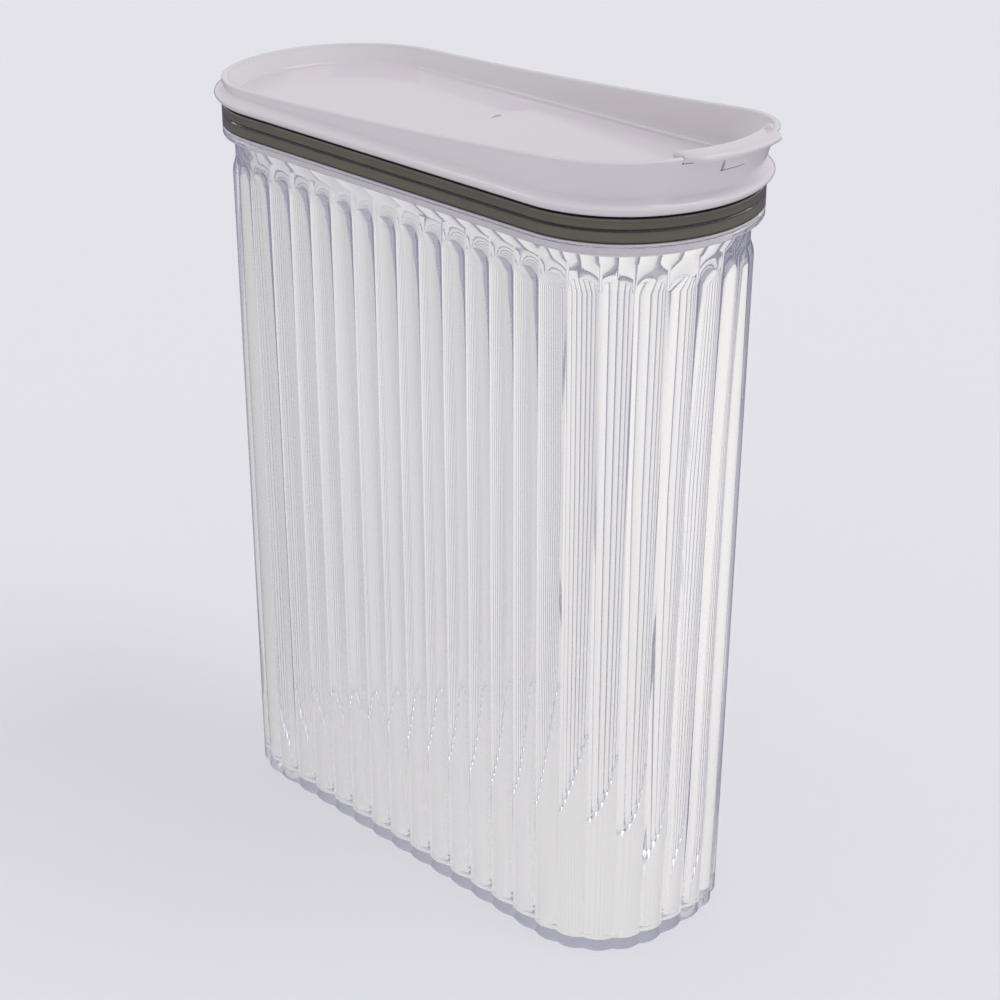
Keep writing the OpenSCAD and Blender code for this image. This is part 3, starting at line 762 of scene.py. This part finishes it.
def catchMesh():
    low, face, sink = flap["catchLow"], flap["catchReach"], flap["lipZ"] + flap["catchSink"]
    tongue = [(wallIn(low) - flap["catchRoot"], low)] + [(face - i, low + up) for i, up in flap["catchRound"]]
    tongue += [(face + flap["catchSink"], sink), (wallIn(flap["lipZ"]) - flap["catchRoot"], sink)]
    return endSweep(tongue, math.degrees(flap["catchWidth"] / 2 / collar.endR), flap["catchSteps"])


def makeFlap():
    z0 = lid["floor"] + flap["gap"]
    z1 = z0 + flap["thick"]
    half = flap["width"] / 2
    edge = trayLoop(flap["edge"], 50)
    edgeX = max(x for x, y in edge if abs(y) > half) + flap["edgeLap"]
    loop = [(flap["start"], -half), (edgeX, -half)]
    loop += sorted((p for p in edge if abs(p[1]) < half), key=lambda p: p[1])
    loop += [(edgeX, half), (flap["start"], half)]
    inset, ribLow = flap["ribInset"], flap["ribLow"]
    steps = [
        ("UNION", flapEnd(z0)), ("UNION", lipMesh()), ("UNION", catchMesh()),
        ("UNION", plateMesh(pourLoop(inset), ribLow, z0 + flap["ribLap"])),
        ("UNION", plateMesh(pourLoop(inset - flap["ribLip"]), ribLow, ribLow + flap["ribLipThick"])),
        ("DIFFERENCE", plateMesh(pourLoop(inset + flap["ribThick"]), ribLow - 1, z0)),
    ]
    x, z, long = hinge["x"], hinge["z"], hinge["knuckle"] / 2
    for y in (-hinge["knuckleY"], hinge["knuckleY"]):
        steps.append(("UNION", rod(x, z, flap["knuckle"] / 2, y - long, y + long)))
        web = boxMesh((x, y - long, z0), (x + flap["web"], y + long, z1 - flap["webDown"]))
        steps.append(("UNION", web))
    steps.append(("DIFFERENCE", rod(x, z, hinge["pin"] / 2, -flap["bore"] / 2, flap["bore"] / 2)))
    piece = carve(plateMesh(loop, z0, z1), steps, "flap")
    softenEdges(piece, flap["soften"], flap["softenAngle"])
    finishPiece(piece, flapFinish, "flap", ("spout_flap",), flap["sharp"])


# The small round pip at one end of the lip
def makePip():
    mesh = bmesh.new()
    far = collar.endR + pip["out"]
    a = math.asin((flap["lipWidth"] / 2 - pip["side"]) / far)
    r, n = pip["radius"], pip["steps"]
    top = flap["lipZ"] + flap["lipThick"] + pip["height"]
    section = [(r * share, top - down) for share, down in pip["round"]]
    section.append((r, top - pip["height"] - pip["sink"]))
    x, y = collar.endX + far * math.cos(a), far * math.sin(a)
    turns = [2 * math.pi * k / n for k in range(n)]
    tip = mesh.verts.new(metres(x, y, top))
    rings = [[mesh.verts.new(metres(x + q * math.cos(t), y + q * math.sin(t), z)) for t in turns]
             for q, z in section]
    for k in range(n):
        j = (k + 1) % n
        mesh.faces.new((tip, rings[0][k], rings[0][j]))
        for u, v in zip(rings, rings[1:]):
            mesh.faces.new((u[k], v[k], v[j], u[j]))
    mesh.faces.new(list(reversed(rings[-1])))
    bmesh.ops.recalc_face_normals(mesh, faces=mesh.faces)
    finishPiece(objectOf(mesh, "lipPip"), flapFinish, "flap", sharp=40)


makeFlap()
makePip()
for name, finish in (("flap_seal", sealFinish), ("flap_hinge_pin", pinFinish)):
    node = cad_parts[name]
    node.data.materials.clear()
    node.data.materials.append(finish)
print("flap made")


# Floor, lamps and world: plain, pale and soft
studio = {
    "size": 12, "drop": 0.2, "floor": (0.79, 0.785, 0.82), "rough": 0.85, "shine": 0.1,
    "card": (0.865, 0.84, 0.765), "cardShare": 0.45,  # glow of the floor in rays that come through the jar
    "cardAcross": (0.696, 0.718, 0), "cardSlope": 2.0, "cardDim": 0.55, "cardBright": 1.45,
    "flag": (0.03, 0.03, 0.10), "flagShare": 0.9, "flagLater": 0.74,  # dark card that mirror reflections see
    "sky": (0.93, 0.93, 0.96), "skyLevel": 0.83, "behind": 0.88,
    "sun": 0.70, "sunAngle": 34, "sunFrom": (0.66, 0.40, 1.15),
    "glint": 0.09, "glintAngle": 10, "glintFrom": (-0.65, -0.43, 0.63),
    "bounces": 32, "glossyBounces": 24,  # light runs a long way inside clear walls
}


def glow(tree, colour, strength):
    return addNode(tree, "ShaderNodeEmission", {}, Color=(*colour, 1), Strength=strength)


def makeFloor():
    mesh = bmesh.new()
    bmesh.ops.create_grid(mesh, x_segments=2, y_segments=2, size=studio["size"])
    floor = objectOf(mesh, "floor")
    mat, tree, shader = newMaterial(
        "paleFloor", studio["floor"], Roughness=studio["rough"], Specular_IOR_Level=studio["shine"])
    floor.data.materials.append(mat)
    floor.location.z = -studio["drop"] * mm
    across = addNode(
        tree, "ShaderNodeVectorMath", {"operation": "DOT_PRODUCT"}, onSurface(tree), studio["cardAcross"], out=1)
    dim, bright = studio["cardDim"], studio["cardBright"]
    level = ((1 + across * studio["cardSlope"] - dim) / (bright - dim)).clamp()
    card = blendShaders(tree, level, glow(tree, studio["card"], dim), glow(tree, studio["card"], bright))
    share = rayIs(tree, "Is Transmission Ray") * studio["cardShare"]
    surface = blendShaders(tree, share, Sock(tree, shader.outputs[0]), card)
    mirror = rayIs(tree, "Is Glossy Ray") * (1 - rayIs(tree, "Is Transmission Ray"))
    later = rayIs(tree, "Ray Depth").math("GREATER_THAN", 1.5) * studio["flagLater"]
    share = mirror * (1 - later) * studio["flagShare"]
    surface = blendShaders(tree, share, surface, glow(tree, studio["flag"], 1.0))
    tree.links.new(surface.socket, tree.nodes["Material Output"].inputs["Surface"])


def makeWorld():
    world = bpy.data.worlds.new("studio")
    bpy.context.scene.world = world
    world.use_nodes = True
    tree = world.node_tree
    back = tree.nodes["Background"]
    seen = rayIs(tree, "Is Camera Ray") + rayIs(tree, "Is Glossy Ray") + rayIs(tree, "Is Transmission Ray")
    level = studio["skyLevel"] + seen.math("MINIMUM", 1.0) * (studio["behind"] - studio["skyLevel"])
    back.inputs["Color"].default_value = (*studio["sky"], 1)
    tree.links.new(level.socket, back.inputs["Strength"])


# The lamps aren't seen through the jar
def makeLamp(name, key):
    lamp = bpy.data.lights.new(name, "SUN")
    lamp.energy, lamp.angle = studio[key], math.radians(studio[key + "Angle"])
    sun = bpy.data.objects.new(name, lamp)
    sun.rotation_mode = "QUATERNION"
    sun.rotation_quaternion = Vector(studio[key + "From"]).to_track_quat("Z", "Y")
    sun.visible_transmission = False
    bpy.context.scene.collection.objects.link(sun)


makeFloor()
makeWorld()
makeLamp("window", "sun")
makeLamp("strip", "glint")
bpy.context.scene.view_settings.view_transform = "Standard"
cycles = bpy.context.scene.cycles
cycles.max_bounces = cycles.transmission_bounces = cycles.transparent_max_bounces = studio["bounces"]
cycles.glossy_bounces = studio["glossyBounces"]
bpy.context.view_layer.update()
print("studio made")
